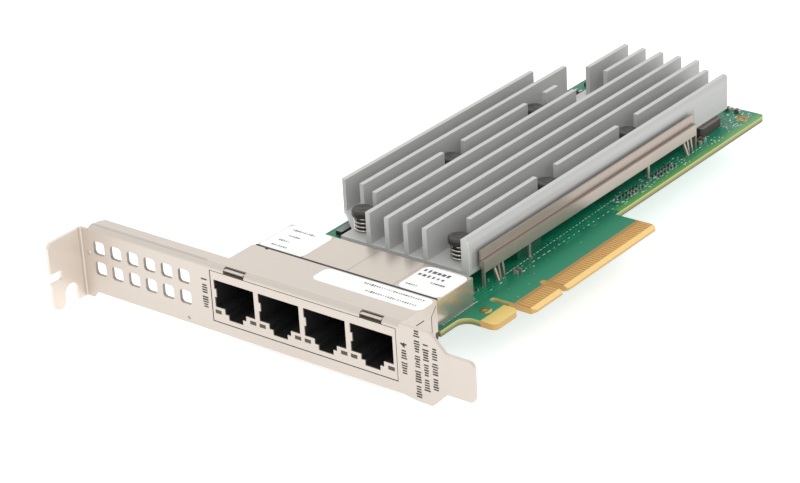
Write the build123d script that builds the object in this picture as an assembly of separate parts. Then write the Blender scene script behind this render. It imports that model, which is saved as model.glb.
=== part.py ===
from build123d import *
import os

# Network interface card with four copper sockets, a full-height bracket,
# an eight-lane edge connector and a finned heat sink on spring pins.
# X runs along the bracket from screw tab to tongue, Y from the bracket's
# outer face back along the board, Z out of the board's component side.
# The working zero is the tab's outer face, the bracket's outer face and
# the component side. Everything moves to the resting box's centre at the end.

# Bracket
sheet = 0.86
bracket_length = 120.02
bracket_width = 18.42
tongue_width = 10.19
tongue_reach = 7.8
tongue_corner = 1.6
tongue_root = 1.2
edge_recess = 0.7
recess_left = 4.0
recess_right = 99.6
recess_ramp = 4.6
bend_outer = 1.3
bend_inner = bend_outer - sheet
tab_depth = 11.43
tab_drop = 1.0
tab_leg = 2.2
tab_corner = 1.2
tab_top_slope = 1.8
slot_width = 4.42
slot_centre = 5.1
slot_depth = 5.3
end_notch_width = 2.45
end_notch_depth = 3.5
end_notch_height = 7.7
pilot_hole = 1.3
pilot_x = 2.9
pilot_z = 1.1
flange_depth = 5.4
flange_start = 3.4
flange_cut = 1.6
flange_step = 0.22
flange_step_at = 2.1
shelf_depth = 14.1
shelf_left = 44.6
shelf_nick = 0.9
shelf_nick_x = 49.0
wall_outer = 99.46
wall_low = -5.2
wall_slit_length = 3.0
wall_slit_width = 0.3
wall_slit_y = 7.7
wall_slit_drop = 3.3
wall_crease = 0.12
dimple_width = 0.9
dimple_depth = 0.3
dimple_x = 35.0
dimple_z = -7.9

# Vents
vent_size = 3.65
vent_corner = 0.9
vent_pitch = 5.57
vent_columns = 6
vent_rows = 2
vent_first_x = 6.6
vent_centre_z = 0.26

# Sockets
port_count = 4
port_pitch = 13.7
port_first_x = 50.1
port_width = 12.3
port_top = 4.7
port_floor = -2.53
port_depth = 12.6
latch_width = 6.6
latch_depth = 1.35
latch_slot_width = 4.4
latch_slot_depth = 2.65
tooth_width = 0.55
tooth_height = 2.15
tooth_drop = 2.45
light_width = 1.9
light_height = 1.0
light_offset = 5.4
light_z = -3.75
light_length = 3.0
front_top_gap = 0.545
front_edge = 3.645
front_inset = 0.06
front_sheet = 0.3
front_skirt = 2.6
window_gap = 0.22
can_sheet = 0.25
can_gap = 0.1
can_drop = 0.15
can_rise = 0.2
can_back = 29.9
can_step = 14.2
can_clear = 0.06
wire_width = 0.45
wire_thick = 0.25
wire_pitch = 1.02
wire_count = 8
wire_length = 8.0
wire_rise = 1.85
wire_drop = 2.4
wire_root = 0.4
hook_width = 6.4
hook_sheet = 0.3
hook_reach = 0.12
hook_back = 1.2
hook_clear = 0.2
hook_rise = 0.75
hook_slot_gap = 0.2
hook_slot_height = 2.1

# Board
board_thickness = 1.57
board_left = 44.7
board_shoulder = 99.6
board_end = 159.0
board_front = 14.75
board_corner = 1.4
lug_length = 0.9
lug_clear = 0.12
lug_ahead = 1.65
finger_tip = 111.83
finger_start = 34.82
finger_pitch = 1.0
finger_margin = 0.825
short_contacts = 11
long_contacts = 38
key_gap = 1.9
key_depth = 7.2
finger_bevel = 1.3
finger_bevel_rise = 0.5
finger_corner = 0.9
contact_width = 0.7
contact_length = 3.5
contact_thick = 0.05
tab_slot = 1.9
hook_tab_tip = 108.7
hook_tab_front = 23.6
hook_tab_corner = 1.6
hook_tab_root = 3.0
hook_slot_root = 99.9
plating_start = 104.4
tab_ring_x = 102.4
tab_ring_y = 28.4
ring_outer = 1.55
ring_inner = 0.8
end_hole_x = 95.8
end_hole_y = 153.7
end_hole_radius = 0.9
end_ring_radius = 1.7

# Heat sink
sink_gap = 3.0
sink_base = 1.4
fin_height = 8.28
fin_thick = 1.25
fin_pitch = 5.68
fin_count = 9
fin_first_x = 46.2
side_fin_thick = 2.25
side_fin_round = 1.4
side_foot_round = 1.2
side_end_round = 2.1
sink_front = 34.9
sink_end = 156.4
corner_cut_x = 54.5
corner_cut_y = 39.7
corner_cut_slope = 8.6
side_fin_end = 151.8
left_fin_end = 127.6
second_fin_end = 135.0
left_base_end = 136.2
back_gap_start = 122.8
back_gap_end = 137.5
pocket_length = 8.5
pocket_width = 6.4

# Spring pins
pin_left_x = 57.15
pin_right_x = 86.35
pin_first_y = 40.6
pin_pitch = 36.2
pin_rows = 3
pin_head_radius = 2.6
pin_head_height = 2.3
pin_head_low = 0.6
pin_head_round = 0.75
pin_shaft_radius = 1.25
pin_hole_radius = 1.45
pin_barb_radius = 1.65
pin_barb_length = 2.2
pin_slot = 0.5
spring_height = 3.3
spring_radius = 1.95
spring_wire = 0.32
spring_turns = 2.5

# Rail
rail_sheet = 0.45
rail_x = 95.45
rail_low = 3.7
rail_ledge = 6.75
rail_ledge_width = 0.9
rail_top = 9.35
rail_start = 38.2
rail_end = 131.0
rail_leg_width = 0.9
rail_leg_first = 56.3
rail_leg_pitch = 52.4
rail_leg_count = 2
rail_foot = 0.95
post_width = 0.8
post_shoulder = 5.3
prong_width = 0.6
prong_pitch = 1.6
prong_near = 3.8
prong_far = 5.4
prong_long_reach = 1.2
prong_short_reach = 0.45
prong_count = 3

# Chips
chip_height = 2.3
pad_margin = 0.8
pad_thick = sink_gap - chip_height
controller_side = 25.0
controller_x = 71.7
controller_y = 94.5
phy_side = 10.0
phy_y = 58.5
phy_first_x = 54.5
phy_pitch = 11.4
inductor_length = 9.6
inductor_width = 5.0
inductor_height = 2.6
inductor_x = 91.2
inductor_y = 142.0
regulator_side = 5.0
regulator_height = 1.2
regulator_x = 49.5
regulator_y = 153.5
crystal_length = 5.0
crystal_width = 3.2
crystal_height = 0.9
crystal_x = 50.0
crystal_y = 132.5

# Small parts
cap_length = 2.0
cap_width = 1.25
cap_height = 1.0
cap_end = 0.4
cap_pitch = 3.8
cap_from_leg = 8.3
resistor_length = 1.0
resistor_width = 0.5
resistor_height = 0.4
resistor_end = 0.2
resistor_pitch = 1.5
cluster_before = 13.0
cluster_after = 2.0
resistor_rows = 6
resistor_columns = 2

# Derived levels and places
bracket_low = -(board_thickness + bracket_width) / 2
bracket_high = bracket_low + bracket_width
tongue_low = bracket_low + (bracket_width - tongue_width) / 2
tongue_high = tongue_low + tongue_width
wide_end = bracket_length - tongue_reach - (bracket_width - tongue_width) / 2
tab_low = bracket_low - tab_drop
tab_high = bracket_high - tab_drop
wall_inner = wall_outer - sheet
front_high = bracket_high - flange_step - sheet - front_top_gap
front_low = bracket_low + front_edge
can_top = front_high - can_drop
can_low = front_low + can_rise
hook_slot_low = front_high + hook_slot_gap
hook_rear = front_inset + hook_back
hook_places = (port_first_x + 0.3, port_first_x + (port_count - 1) * port_pitch + 0.1)
lug_hole_front = board_front - lug_ahead
socket_left = port_first_x - port_pitch / 2 - 0.2
socket_right = port_first_x + (port_count - 0.5) * port_pitch + 0.2
short_length = (short_contacts - 1) * finger_pitch + 2 * finger_margin
long_length = (long_contacts - 1) * finger_pitch + 2 * finger_margin
key_start = finger_start + short_length
key_end = key_start + key_gap
finger_end = key_end + long_length
sink_top_of_base = sink_gap + sink_base
fin_top = sink_top_of_base + fin_height
sink_left = fin_first_x - fin_thick / 2
sink_right = fin_first_x + (fin_count - 1) * fin_pitch + side_fin_thick - fin_thick / 2
pin_seat = sink_top_of_base + spring_height
pin_last_y = pin_first_y + (pin_rows - 1) * pin_pitch
port_centres = [port_first_x + i * port_pitch for i in range(port_count)]
to_origin = Pos(-bracket_length / 2, -(board_end - tab_depth) / 2, -tab_low)


def prism_x(sketch, start, end):
    return extrude(Plane.YZ.offset(start) * sketch, amount=end - start)


def prism_y(sketch, start, end):
    return extrude(Plane.XZ.offset(-start) * sketch, amount=start - end)


def prism_z(sketch, start, end):
    return extrude(Plane.XY.offset(start) * sketch, amount=end - start)


def outline(*points):
    return make_face(Polyline(*points, close=True))


def span(low_a, high_a, low_b, high_b):
    middle = Pos((low_a + high_a) / 2, (low_b + high_b) / 2)
    return middle * Rectangle(high_a - low_a, high_b - low_b)


def near(shape, *points):
    corners = shape.vertices()
    return [v for v in corners for a, b in points if abs(v.X - a) < 0.05 and abs(v.Y - b) < 0.05]


def make_tab():
    legs = outline(
        (0, sheet), (0, -tab_depth), (sheet, -tab_depth), (sheet, 0),
        (sheet + tab_leg, 0), (sheet + tab_leg, sheet),
    )
    legs = fillet(near(legs, (0, sheet)), bend_outer)
    legs = fillet(near(legs, (sheet, 0)), bend_inner)
    tab = prism_z(legs, tab_low, tab_high)
    slot_top = tab_low + slot_depth - slot_width / 2
    slot = span(-slot_centre - slot_width / 2, -slot_centre + slot_width / 2, tab_low - 1, slot_top)
    slot += Pos(-slot_centre, slot_top) * Circle(slot_width / 2)
    notch_low = tab_low + end_notch_height
    notch_high = notch_low + end_notch_width
    inner = end_notch_depth - tab_depth
    notch = outline(
        (-tab_depth - 1, notch_low - 0.5), (-tab_depth + 0.7, notch_low), (inner, notch_low),
        (inner, notch_high), (-tab_depth + 0.7, notch_high), (-tab_depth - 1, notch_high + 0.5),
    )
    tab -= prism_x(slot + notch, -1, sheet + 1)
    finger_round = (tab_depth - slot_centre - slot_width / 2) / 2 - 0.05
    corners = tab.edges().filter_by(Axis.X)
    low = [e for e in corners if e.center().Z < tab_low + 0.01 and e.center().Y < -slot_centre]
    tab = fillet(low, finger_round)
    high = tab.edges().filter_by(Axis.X).filter_by(lambda e: e.center().Z > tab_high - 0.01)
    return chamfer([e for e in high if e.center().Y < -tab_depth + 0.01], tab_corner)


def face_outline():
    recess = bracket_low + edge_recess
    left = sheet + tab_leg
    slope = wide_end + (bracket_width - tongue_width) / 2
    shape = outline(
        (left - 1.2, tab_low), (left - 0.2, tab_low), (recess_left + 0.6, recess),
        (recess_right, recess), (recess_right + recess_ramp, bracket_low), (wide_end, bracket_low),
        (slope, tongue_low), (bracket_length, tongue_low), (bracket_length, tongue_high),
        (slope, tongue_high), (wide_end, bracket_high), (wall_outer, bracket_high),
        (wall_outer, bracket_high - bend_outer), (flange_start, bracket_high - bend_outer),
        (left - 0.4, tab_high), (left - 1.2, tab_high),
    )
    tip = near(shape, (bracket_length, tongue_low), (bracket_length, tongue_high))
    shape = fillet(tip, tongue_corner)
    shoulders = near(shape, (wide_end, bracket_low), (wide_end, bracket_high))
    roots = near(shape, (slope, tongue_low), (slope, tongue_high))
    return fillet(shoulders + roots, tongue_root)


def make_flange(depth, start, end):
    inner = bracket_high - sheet
    strip = outline(
        (0, bracket_high - bend_outer), (0, bracket_high), (flange_step_at, bracket_high),
        (flange_step_at + 0.25, bracket_high - flange_step), (depth, bracket_high - flange_step),
        (depth, inner - flange_step), (flange_step_at, inner - flange_step), (flange_step_at - 0.25, inner),
        (sheet, inner), (sheet, bracket_high - bend_outer),
    )
    strip = fillet(near(strip, (0, bracket_high)), bend_outer - 0.02)
    strip = fillet(near(strip, (sheet, inner)), bend_inner - 0.02)
    return prism_x(strip, start, end)


def make_side_wall():
    rear = shelf_depth
    high = bracket_high - flange_step
    plate = prism_x(span(sheet - 0.01, rear, wall_low, high), wall_inner, wall_outer)
    outer = [e for e in plate.edges().filter_by(Axis.Y) if e.center().X > wall_outer - 0.01]
    plate = fillet([e for e in outer if e.center().Z > 0], bend_outer / 2)
    slit = Pos(wall_slit_y, bracket_high - wall_slit_drop) * SlotOverall(wall_slit_length, wall_slit_width)
    lug_hole_back = lug_hole_front + lug_length + 2 * lug_clear
    lug_hole = span(lug_hole_front, lug_hole_back, -board_thickness - lug_clear, lug_clear)
    plate -= prism_x(slit + lug_hole, wall_inner - 1, wall_outer + 1)
    crease = Polyline((rear - 0.3, high - 1.3), (rear - 2.2, high - 3.4), (rear - 2.2, wall_low + 2.2))
    groove = prism_x(trace(crease, wall_crease * 2), wall_outer - wall_crease, wall_outer + 1)
    return plate - groove


def make_bracket():
    face = prism_y(face_outline(), 0, sheet)
    shelf = make_flange(shelf_depth, shelf_left, wall_outer)
    shelf -= Pos(shelf_nick_x, shelf_depth, bracket_high) * Box(shelf_nick, shelf_nick, 4)
    flange = make_flange(flange_depth, flange_start, shelf_left + 0.01)
    corner = outline(
        (flange_start - 1, flange_depth + 1), (flange_start - 1, flange_depth - flange_cut),
        (flange_start, flange_depth - flange_cut), (flange_start + flange_cut, flange_depth + 1),
    )
    flange -= prism_z(corner, bracket_high - 3, bracket_high + 1)
    bracket = face + flange + shelf + make_side_wall() + make_tab()
    middle_x = vent_first_x + (vent_columns - 1) * vent_pitch / 2
    grid = Pos(middle_x, vent_centre_z) * GridLocations(vent_pitch, vent_pitch, vent_columns, vent_rows)
    vents = Sketch() + [place * RectangleRounded(vent_size, vent_size, vent_corner) for place in grid]
    window = span(
        socket_left - window_gap, socket_right + window_gap,
        front_low - window_gap, front_high + window_gap,
    )
    pilot = Pos(pilot_x, pilot_z) * Circle(pilot_hole / 2)
    bracket -= prism_y(vents + window + pilot, -1, sheet + 1)
    bracket -= prism_y(Pos(dimple_x, dimple_z) * Circle(dimple_width / 2), -1, dimple_depth)
    for x in hook_places:
        slot = span(x - hook_width / 2, x + hook_width / 2, hook_slot_low, hook_slot_low + hook_slot_height)
        bracket -= prism_y(slot, -1, hook_rear + hook_clear)
    return bracket


def socket_shape():
    shape = Pos(0, (port_floor + port_top) / 2) * Rectangle(port_width, port_top - port_floor)
    shape += Pos(0, port_floor) * Rectangle(latch_width, 2 * latch_depth)
    return shape + Pos(0, port_floor) * Rectangle(latch_slot_width, 2 * latch_slot_depth)


def tooth_shape():
    middle = port_top - tooth_drop - tooth_height / 2
    return Pos(-port_width / 2, middle) * Rectangle(2 * tooth_width, tooth_height)


def light_shape(clear=0.0):
    window = Rectangle(light_width + 2 * clear, light_height + 2 * clear)
    return Sketch() + [Pos(side * light_offset, light_z) * window for side in (-1, 1)]


def make_port_front():
    plate = span(socket_left, socket_right, front_low, front_high)
    frame = prism_y(plate, front_inset, front_inset + front_skirt)
    hollow = offset(plate, -front_sheet, kind=Kind.INTERSECTION)
    frame -= prism_y(hollow, front_inset + front_sheet, front_inset + front_skirt + 1)
    cut = Sketch()
    for x in port_centres:
        cut += Pos(x, 0) * (socket_shape() - tooth_shape() + light_shape())
    frame -= prism_y(cut, -1, front_inset + front_sheet + 0.5)
    for x in hook_places:
        frame += make_hook(x)
    return frame


def make_hook(x):
    low = hook_slot_low + hook_rise
    high = low + hook_sheet
    root = front_high - front_sheet / 2
    side = outline(
        (hook_rear, root), (hook_rear, high), (-hook_reach, high),
        (-hook_reach, low), (hook_rear - hook_sheet, low), (hook_rear - hook_sheet, root),
    )
    half = hook_width / 2 - hook_clear
    return prism_x(side, x - half, x + half)


def can_side(shrink):
    front = front_inset + front_skirt + 0.1
    return outline(
        (front, can_low + shrink), (front, can_top - shrink), (can_back - shrink, can_top - shrink),
        (can_back - shrink, can_clear + shrink), (can_step - shrink, can_clear + shrink),
        (can_step - shrink, can_low + shrink),
    )


def make_port_shield(x):
    half = (port_pitch - can_gap) / 2
    front = front_inset + front_skirt + 0.1
    can = prism_x(can_side(0), x - half, x + half)
    inside = prism_x(can_side(can_sheet), x - half + can_sheet, x + half - can_sheet)
    mouth = Pos(x, front, 0) * Box(2 * (half - can_sheet), 1, 2 * min(can_top, -can_low) - 2 * can_sheet)
    return can - inside - mouth


def make_port_body(x):
    half = (port_pitch - can_gap) / 2 - can_sheet - 0.05
    margin = can_sheet + 0.05
    front = front_inset + front_sheet + 0.05
    side = outline(
        (front, can_low + margin), (front, can_top - margin), (can_back - margin, can_top - margin),
        (can_back - margin, can_clear + margin), (can_step - margin, can_clear + margin),
        (can_step - margin, can_low + margin),
    )
    body = prism_x(side, x - half, x + half)
    cavity = Pos(x, 0) * socket_shape()
    body -= prism_y(cavity, 0, front + port_depth)
    return body - prism_y(Pos(x, 0) * light_shape(0.05), 0, front + light_length)


def make_port_wires(x):
    back = front_inset + front_sheet + 0.05 + port_depth
    root = back - wire_root
    level = port_top - wire_drop
    bend = Polyline((back, level), (root, level), (root - wire_length, level + wire_rise))
    strip = trace(bend, wire_thick)
    first = x - (wire_count - 1) * wire_pitch / 2 - wire_width / 2
    starts = [first + i * wire_pitch for i in range(wire_count)]
    return [prism_x(strip, start, start + wire_width) for start in starts]


def make_port_lights():
    lights = []
    for x in port_centres:
        for side in (-1, 1):
            face = Pos(x + side * light_offset, light_z) * Rectangle(light_width - 0.1, light_height - 0.1)
            lights.append(prism_y(face, front_inset + 0.05, front_inset + front_sheet + light_length))
    return lights


def board_outline():
    tab_back = finger_start - tab_slot
    lug_front = lug_hole_front + lug_clear
    lug_back = lug_front + lug_length
    shape = outline(
        (board_left, board_front), (wall_inner - 0.4, board_front),
        (wall_inner - 0.4, lug_front), (wall_outer, lug_front), (wall_outer, lug_back),
        (wall_inner - 0.1, lug_back), (wall_inner - 0.1, board_front), (board_shoulder, board_front),
        (board_shoulder, hook_tab_front), (hook_tab_tip, hook_tab_front), (hook_tab_tip, tab_back),
        (hook_slot_root, tab_back), (hook_slot_root, finger_start), (finger_tip, finger_start),
        (finger_tip, key_start), (finger_tip - key_depth, key_start), (finger_tip - key_depth, key_end),
        (finger_tip, key_end), (finger_tip, finger_end), (board_shoulder, finger_end),
        (board_shoulder, board_end), (board_left, board_end),
    )
    rounds = (
        (board_corner, (board_shoulder, board_end), (board_left, board_end)),
        (hook_tab_corner, (hook_tab_tip, hook_tab_front), (hook_tab_tip, tab_back)),
        (hook_tab_root, (board_shoulder, hook_tab_front)),
        (tab_slot / 2 - 0.02, (hook_slot_root, tab_back), (hook_slot_root, finger_start)),
        (key_gap / 2 - 0.02, (finger_tip - key_depth, key_start), (finger_tip - key_depth, key_end)),
    )
    for radius, *corners in rounds:
        shape = fillet(near(shape, *corners), radius)
    shape = chamfer(near(shape, (finger_tip, finger_start), (finger_tip, finger_end)), finger_corner)
    return chamfer(near(shape, (finger_tip, key_start), (finger_tip, key_end)), finger_corner / 2)


def pin_places():
    middle = ((pin_left_x + pin_right_x) / 2, (pin_first_y + pin_last_y) / 2)
    return Pos(*middle) * GridLocations(pin_right_x - pin_left_x, pin_pitch, 2, pin_rows)


def make_board():
    holes = Sketch() + [place * Circle(pin_hole_radius) for place in pin_places()]
    holes += Pos(end_hole_x, end_hole_y) * Circle(end_hole_radius)
    holes += Pos(tab_ring_x, tab_ring_y) * Circle(ring_inner)
    board = prism_z(board_outline() - holes, -board_thickness, 0)
    for side in (0, 1):
        level = -board_thickness if side else 0
        inward = finger_bevel_rise if side else -finger_bevel_rise
        wedge = outline(
            (finger_tip - finger_bevel, level), (finger_tip + 1, level),
            (finger_tip + 1, level + inward * (finger_bevel + 1) / finger_bevel),
        )
        board -= prism_y(wedge, finger_start - 1, finger_end + 1)
    return board


def make_contacts():
    tip = finger_tip - finger_bevel - 0.02
    first = [finger_start + finger_margin + i * finger_pitch for i in range(short_contacts)]
    second = [key_end + finger_margin + i * finger_pitch for i in range(long_contacts)]
    pad = Box(contact_length, contact_width, contact_thick)
    pads = []
    for y in first + second:
        for level in (contact_thick / 2, -board_thickness - contact_thick / 2):
            pads.append(Pos(tip - contact_length / 2, y, level) * pad)
    return pads


def make_tab_plating():
    tab_back = finger_start - tab_slot
    face = span(plating_start, hook_tab_tip, hook_tab_front, tab_back)
    face = fillet(near(face, (hook_tab_tip, hook_tab_front), (hook_tab_tip, tab_back)), hook_tab_corner)
    ring = Pos(tab_ring_x, tab_ring_y) * (Circle(ring_outer) - Circle(ring_inner))
    end_ring = Pos(end_hole_x, end_hole_y) * (Circle(end_ring_radius) - Circle(end_hole_radius))
    return [prism_z(shape, 0, contact_thick) for shape in (face, ring, end_ring)]


def fin_profile():
    comb = span(sink_left, sink_right, sink_gap, sink_top_of_base)
    for i in range(fin_count - 1):
        x = fin_first_x + i * fin_pitch
        comb += span(x - fin_thick / 2, x + fin_thick / 2, sink_gap, fin_top)
    comb += span(sink_right - side_fin_thick, sink_right, sink_gap, fin_top)
    comb = fillet(near(comb, (sink_right, fin_top)), side_fin_round)
    return fillet(near(comb, (sink_right, sink_gap)), side_foot_round)


def sink_plan():
    cut_end = corner_cut_y + corner_cut_slope * 0.88
    plan = outline(
        (corner_cut_x, sink_front), (sink_right, sink_front), (sink_right, side_fin_end),
        (fin_edge(6), side_fin_end), (fin_edge(6), sink_end), (fin_edge(1), sink_end),
        (fin_edge(1), left_base_end), (fin_edge(0), left_base_end), (sink_left, left_fin_end),
        (sink_left, cut_end), (corner_cut_x - corner_cut_slope, cut_end), (corner_cut_x, corner_cut_y),
    )
    return fillet(near(plan, (sink_right, side_fin_end)), side_end_round)


def fin_edge(index):
    return fin_first_x + (index + 0.5) * fin_pitch


def make_heat_sink():
    sink = prism_y(fin_profile(), sink_front, sink_end)
    sink &= prism_z(sink_plan(), sink_gap - 1, fin_top + 1)
    top = Sketch()
    top += span(sink_left - 1, fin_edge(1), sink_front - 1, pin_first_y + pocket_width)
    top += span(fin_edge(1), fin_edge(2), sink_front - 1, pin_first_y + pocket_length / 2)
    top += span(fin_edge(6), fin_edge(7), sink_front - 1, pin_first_y + pocket_length / 2)
    top += span(sink_left - 1, fin_edge(0), left_fin_end, sink_end + 1)
    top += span(sink_left - 1, fin_edge(1), second_fin_end, sink_end + 1)
    top += span(fin_edge(1), fin_edge(3), back_gap_start, back_gap_end)
    for y in (pin_first_y + pin_pitch, pin_last_y):
        for low in (1, 6):
            top += span(fin_edge(low), fin_edge(low + 1), y - pocket_length / 2, y + pocket_length / 2)
    sink -= prism_z(top, sink_top_of_base, fin_top + 1)
    for place in pin_places():
        sink -= place * Pos(0, 0, sink_gap + sink_base / 2) * Cylinder(pin_hole_radius, sink_base + 1)
    return sink


def make_pin():
    tip = -board_thickness - pin_barb_length
    head = pin_seat + pin_head_height
    side = Polyline(
        (0, tip), (0.45, tip), (pin_barb_radius, -board_thickness - 0.35),
        (pin_barb_radius, -board_thickness - 0.1), (pin_shaft_radius, -board_thickness - 0.1),
        (pin_shaft_radius, pin_seat), (pin_head_radius - pin_head_low, pin_seat),
        (pin_head_radius, pin_seat + pin_head_low), (pin_head_radius, head - pin_head_round),
        (pin_head_radius - pin_head_round, head), (0, head), close=True,
    )
    pin = revolve(Plane.XZ * make_face(side), Axis.Z)
    depth = pin_barb_length + board_thickness / 2
    return pin - Pos(0, 0, tip + depth / 2) * Box(2 * pin_barb_radius + 1, pin_slot, depth)


def make_spring():
    low = sink_top_of_base + spring_wire + 0.02
    high = pin_seat - spring_wire - 0.02
    path = Helix(pitch=(high - low) / spring_turns, height=high - low, radius=spring_radius)
    start = path @ 0
    wire = Plane(origin=start, z_dir=path % 0) * RegularPolygon(spring_wire, 4)
    return Pos(0, 0, low) * sweep(wire, path=path, is_frenet=True)


def rail_prong(reach):
    inner = rail_x - rail_sheet
    tip = rail_x + reach
    return outline(
        (inner, rail_low + 0.1), (rail_x, rail_low + 0.1), (rail_x, rail_low - 0.3),
        (tip, 0.4), (tip, 0), (tip - rail_sheet, 0), (inner, rail_low - 0.6),
    )


def make_rail():
    half = rail_sheet / 2
    back = rail_x - rail_ledge_width
    profile = Polyline(
        (rail_x - half, rail_low), (rail_x - half, rail_ledge - half),
        (back - half, rail_ledge - half), (back - half, rail_top),
    )
    rail = prism_y(trace(profile, rail_sheet), rail_start, rail_end)
    leg = span(rail_x - rail_sheet, rail_x, 0, rail_low + 0.1)
    leg += span(rail_x - rail_sheet, rail_x - rail_sheet + rail_foot, 0, rail_sheet)
    for i in range(rail_leg_count):
        y = rail_leg_first + i * rail_leg_pitch
        rail += prism_y(leg, y - rail_leg_width / 2, y + rail_leg_width / 2)
    for i in range(prong_count):
        prong = rail_prong(prong_short_reach if i else prong_long_reach)
        for first in (rail_start + prong_near, rail_end - prong_far):
            y = first + i * prong_pitch
            rail += prism_y(prong, y - prong_width / 2, y + prong_width / 2)
    post = outline(
        (rail_x, 0), (rail_x, rail_ledge), (back, rail_ledge), (back, rail_top),
        (back - rail_sheet, rail_top), (back - rail_sheet, post_shoulder),
        (rail_x - post_width, post_shoulder), (rail_x - post_width, 0),
    )
    for start in (rail_start - rail_sheet, rail_end):
        rail += prism_y(post, start, start + rail_sheet)
    return rail


def make_chip(x, y, side, height=chip_height):
    chip = Pos(x, y, height / 2) * Box(side, side, height)
    return chamfer(chip.edges().group_by(Axis.Z)[-1], 0.3)


def make_pads():
    level = chip_height + pad_thick / 2
    side = controller_side - 2 * pad_margin
    pads = [Pos(controller_x, controller_y, level) * Box(side, side, pad_thick)]
    side = phy_side - 2 * pad_margin
    for i in range(port_count):
        pads.append(Pos(phy_first_x + i * phy_pitch, phy_y, level) * Box(side, side, pad_thick))
    return pads


def make_inductor():
    block = Box(inductor_width, inductor_length, inductor_height)
    block = chamfer(block.edges().filter_by(Axis.Z), 0.6)
    return Pos(inductor_x, inductor_y, inductor_height / 2) * block


def chip_part(length, width, height, end):
    low = (Align.CENTER, Align.CENTER, Align.MIN)
    body = Box(length - 2 * end, width, height, align=low)
    cap = Box(end, width, height, align=low)
    return [body, Pos(-(length - end) / 2, 0, 0) * cap, Pos((length - end) / 2, 0, 0) * cap]


def set_parts(places, *sizes):
    return [place * piece for place in places for piece in chip_part(*sizes)]


def make_capacitors():
    beside_leg = Pos(rail_x + 2.25, rail_leg_first - cap_from_leg) * Rot(0, 0, 90)
    beside_regulator = Pos(regulator_x + regulator_side, regulator_y - cap_pitch)
    places = [beside_leg]
    for i in range(2):
        places.append(Pos(rail_x - 0.9, rail_end + 2.6 + i * cap_width * 1.7))
        places.append(Pos(board_shoulder - 7.0 - i * cap_length * 1.5, board_end - 2.4))
        places.append(beside_regulator * Pos(0, i * cap_pitch) * Rot(0, 0, 90))
        places.append(Pos(regulator_x - 1.0, regulator_y - 2 * cap_pitch - i * cap_pitch))
    return set_parts(places, cap_length, cap_width, cap_height, cap_end)


def make_resistors():
    places = []
    last_leg = rail_leg_first + (rail_leg_count - 1) * rail_leg_pitch
    for first in (last_leg - cluster_before, last_leg + cluster_after):
        for i in range(resistor_rows):
            for column in range(resistor_columns):
                x = rail_x - 0.2 + column * resistor_length * 1.4
                places.append(Pos(x, first + (i + column / 2) * resistor_pitch))
    for i in range(4):
        places.append(Pos(rail_x - 1.9 + (i % 2), can_back + 1.2 + i * resistor_pitch))
    return set_parts(places, resistor_length, resistor_width, resistor_height, resistor_end)


def make_crystal():
    can = Box(crystal_length, crystal_width, crystal_height)
    return Pos(crystal_x, crystal_y, crystal_height / 2) * can


def save(shape, node):
    group = Compound(children=list(shape)) if isinstance(shape, list) else shape
    export_step(to_origin * group, f"parts/{node}.step")


os.makedirs("parts", exist_ok=True)
save(make_board(), "board")
save(make_contacts(), "edge_contacts")
save(make_tab_plating(), "hole_plating")
save(make_bracket(), "bracket")
save(make_port_front(), "port_front")
for number, x in enumerate(port_centres, start=1):
    save(make_port_shield(x), f"port_shield_{number}")
    save(make_port_body(x), f"port_body_{number}")
    save(make_port_wires(x), f"port_wires_{number}")
save(make_port_lights(), "port_lights")
save(make_heat_sink(), "heat_sink")
for number, place in enumerate(pin_places(), start=1):
    save(place * make_pin(), f"spring_pin_{number}")
    save(place * make_spring(), f"pin_spring_{number}")
save(make_rail(), "side_rail")
save(make_chip(controller_x, controller_y, controller_side), "controller_chip")
for number in range(port_count):
    save(make_chip(phy_first_x + number * phy_pitch, phy_y, phy_side), f"port_chip_{number + 1}")
save(make_pads(), "thermal_pads")
save(make_inductor(), "power_inductor")
save(make_capacitors(), "capacitors")
save(make_resistors(), "resistors")
save(make_chip(regulator_x, regulator_y, regulator_side, regulator_height), "regulator")
save(make_crystal(), "crystal")
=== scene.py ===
"""Dresses the network interface card: finishes, labels, markings, solder, small parts, light, camera."""
import math
import random

import bmesh
import bpy
from mathutils import Matrix, Vector


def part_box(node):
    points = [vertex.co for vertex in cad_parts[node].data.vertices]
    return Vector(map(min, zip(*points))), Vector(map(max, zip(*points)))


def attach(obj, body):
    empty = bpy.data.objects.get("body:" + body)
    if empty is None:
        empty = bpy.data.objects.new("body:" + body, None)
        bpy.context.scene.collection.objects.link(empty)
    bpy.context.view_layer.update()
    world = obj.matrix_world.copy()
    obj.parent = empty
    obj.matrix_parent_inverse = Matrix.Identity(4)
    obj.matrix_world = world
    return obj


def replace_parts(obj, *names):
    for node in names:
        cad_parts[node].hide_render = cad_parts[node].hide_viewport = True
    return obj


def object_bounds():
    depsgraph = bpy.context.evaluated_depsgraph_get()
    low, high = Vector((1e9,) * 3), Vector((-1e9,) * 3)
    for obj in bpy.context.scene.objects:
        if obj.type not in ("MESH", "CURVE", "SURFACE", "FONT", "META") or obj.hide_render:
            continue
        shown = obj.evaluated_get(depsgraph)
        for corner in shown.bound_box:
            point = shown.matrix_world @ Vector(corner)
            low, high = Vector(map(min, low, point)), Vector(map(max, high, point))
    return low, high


bl_info = {
    "name": "Network Card Dresser",
    "version": (1, 0, 0),
    "blender": (4, 5, 0),
    "location": "View3D > Sidebar > Card",
    "description": "Finishes, labels, markings and light for a network interface card",
    "category": "Object",
}

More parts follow.
